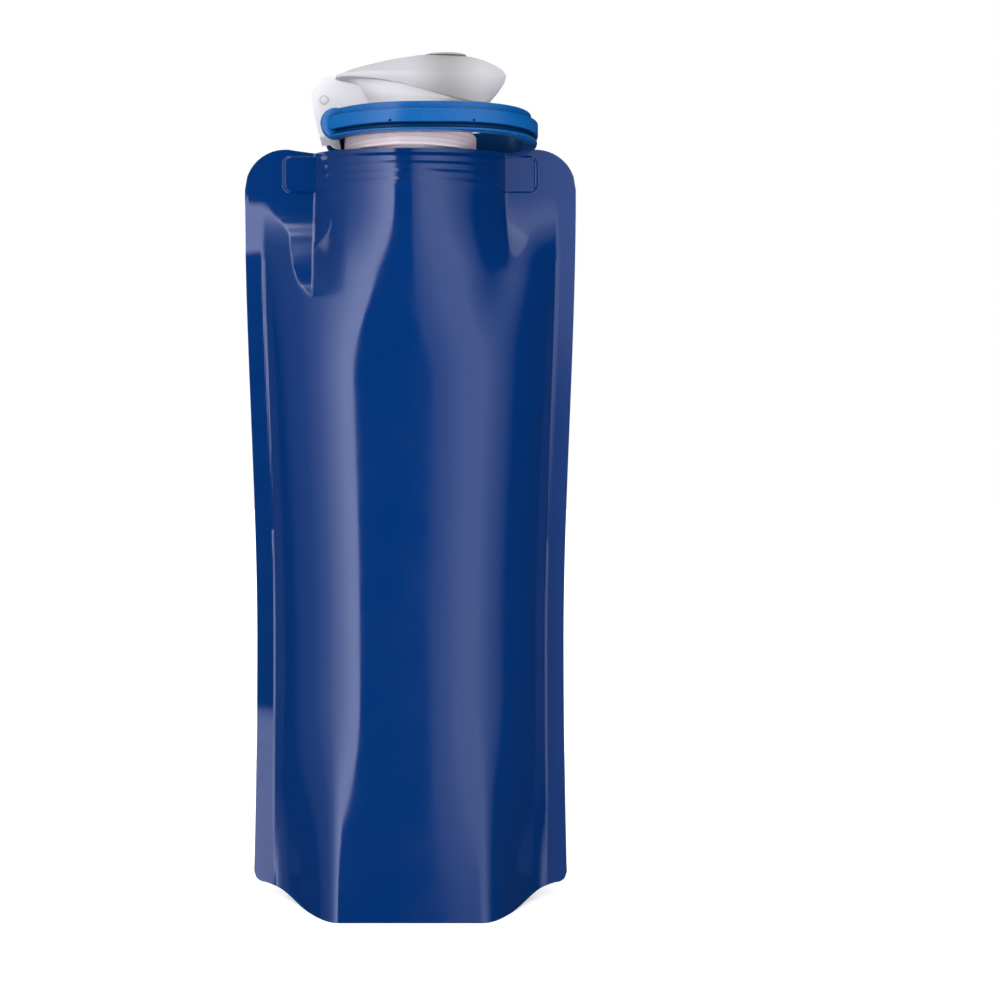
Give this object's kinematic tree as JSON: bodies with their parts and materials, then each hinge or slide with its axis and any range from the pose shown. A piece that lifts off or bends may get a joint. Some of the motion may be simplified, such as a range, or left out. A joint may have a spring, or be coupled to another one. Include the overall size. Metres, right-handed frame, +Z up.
{
  "type": "collapsible water bottle",
  "caption": "Stand-up film pouch bottle with a folded base, a welded spout, a screw cap with a hinged beak lid, and a clip-on wire-gate carabiner.",
  "frame": {"origin": "centre of the standing base, on the floor", "axes": "X across the pouch, positive to the right when the front is seen; Y through it, with the front film toward -Y; Z up along the pouch's long axis"},
  "size_m": [0.119, 0.0615, 0.3036],
  "materials": {
    "film": "glossy",
    "collar": "satin",
    "seal": "matte",
    "frosted": "frosted translucent",
    "plug": "matte",
    "clip": "satin",
    "wire": "satin"
  },
  "bodies": {
    "pouch": {"front_film": "film", "back_film": "film", "bottom_gusset": "film", "spout_fitment": "collar"},
    "gasket_ring": {"cap_gasket": "seal"},
    "cap": {"cap_body": "frosted", "lid_hinge_pin": "frosted"},
    "lid": {"flip_lid": "frosted", "lid_plug": "plug"},
    "carabiner": {"carabiner_frame": "clip"},
    "gate": {"wire_gate": "wire"}
  },
  "joints": [
    {"name": "cap_lift", "type": "slide", "parent": "pouch", "child": "gasket_ring", "axis": [0, 0, 1], "range_m": [0, 0.0053]},
    {"name": "cap_turn", "type": "hinge", "parent": "gasket_ring", "child": "cap", "pos_m": [0, 0, 0.277], "axis": [0, 0, 1], "range_deg": [0, 540]},
    {"name": "lid_hinge", "type": "hinge", "parent": "cap", "child": "lid", "pos_m": [-0.0306, 0, 0.2851], "axis": [0, -1, 0], "range_deg": [0, 130]},
    {"name": "carabiner_swing", "type": "hinge", "parent": "cap", "child": "carabiner", "pos_m": [-0.0261, 0, 0.2751], "axis": [0, -1, 0], "range_deg": [0, 230]},
    {"name": "gate_swing", "type": "hinge", "parent": "carabiner", "child": "gate", "pos_m": [-0.0151, 0.0266, 0.2751], "axis": [0, 0, -1], "range_deg": [0, 6.5], "stiffness_Nm_per_rad": 0.05}
  ],
  "couplings": [
    {"joint": "cap_lift", "follows": "cap_turn", "m_per_rad": 0.00055704}
  ]
}
